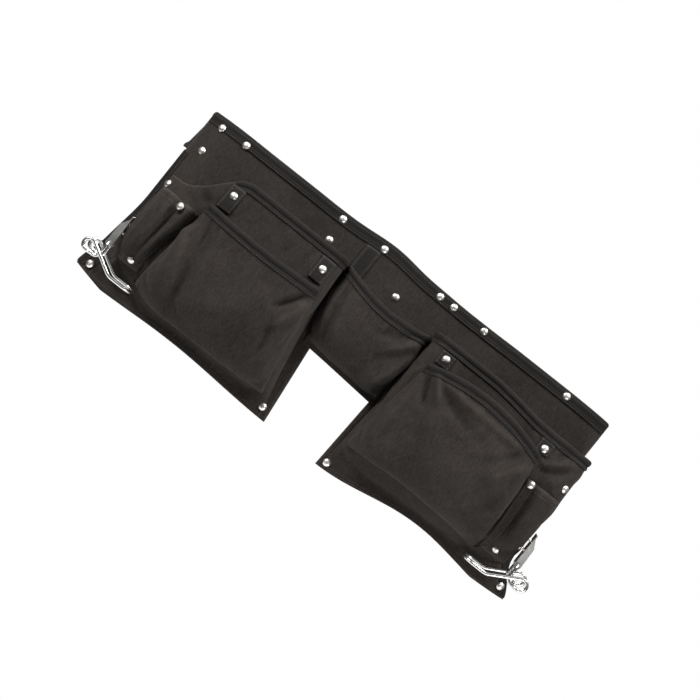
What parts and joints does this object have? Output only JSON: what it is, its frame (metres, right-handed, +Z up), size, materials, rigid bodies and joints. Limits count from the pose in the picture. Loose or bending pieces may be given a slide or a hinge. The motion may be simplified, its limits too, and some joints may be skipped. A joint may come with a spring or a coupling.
{
  "type": "electrician waist tool pouch",
  "caption": "Waist tool pouch: open-topped bucket pockets with smaller pockets and tool slots on one back panel, a belt tunnel behind its top edge, and hinged wire hammer loops at the sides.",
  "frame": {"origin": "middle of the belt tunnel, half-way across the back panel", "axes": "+X along the belt towards the viewer's right as the pouch is seen from its front, +Y towards the wearer, +Z up"},
  "size_m": [0.6056, 0.1122, 0.2381],
  "materials": {
    "pouch_fabric": "woven coated polyester, matt",
    "tunnel_fabric": "woven webbing, matt",
    "binding_tape": "woven tape, slight sheen",
    "tab_webbing": "woven webbing, slight sheen",
    "rivets": "nickel plated, bright",
    "loop_wire": "chrome plated wire, bright",
    "loop_hanger": "chrome plated pressed steel"
  },
  "bodies": {
    "pouch": {"back_panel": "pouch_fabric", "belt_tunnel": "tunnel_fabric", "centre_binding": "binding_tape", "centre_pocket": "pouch_fabric", "centre_strip": "binding_tape", "corner_rivets": "rivets", "left_edge_binding": "binding_tape", "left_front_binding": "binding_tape", "left_front_pocket": "pouch_fabric", "left_hanger_rivets": "rivets", "left_inner_tab": "tab_webbing", "left_loop_hanger": "loop_hanger", "left_main_binding": "binding_tape", "left_main_pocket": "pouch_fabric", "left_outer_tab": "tab_webbing", "left_tool_slots": "pouch_fabric", "right_edge_binding": "binding_tape", "right_front_binding": "binding_tape", "right_front_pocket": "pouch_fabric", "right_hanger_rivets": "rivets", "right_inner_tab": "tab_webbing", "right_loop_hanger": "loop_hanger", "right_main_binding": "binding_tape", "right_main_pocket": "pouch_fabric", "right_outer_tab": "tab_webbing", "right_tool_slots": "pouch_fabric", "side_rivets": "rivets", "slot_rivets": "rivets", "tab_rivets": "rivets", "top_binding": "binding_tape", "top_rivets": "rivets", "tunnel_rivets": "rivets"},
    "left_loop": {"left_hammer_loop": "loop_wire"},
    "right_loop": {"right_hammer_loop": "loop_wire"}
  },
  "joints": [
    {"name": "left_loop_swing", "type": "hinge", "parent": "pouch", "child": "left_loop", "pos_m": [-0.2718, -0.033, -0.161], "axis": [0, 0.9976, 0.0698], "range_deg": [0, 75]},
    {"name": "right_loop_swing", "type": "hinge", "parent": "pouch", "child": "right_loop", "pos_m": [0.287, -0.033, -0.158], "axis": [0, 0.9976, 0.0698], "range_deg": [-75, 0]}
  ]
}
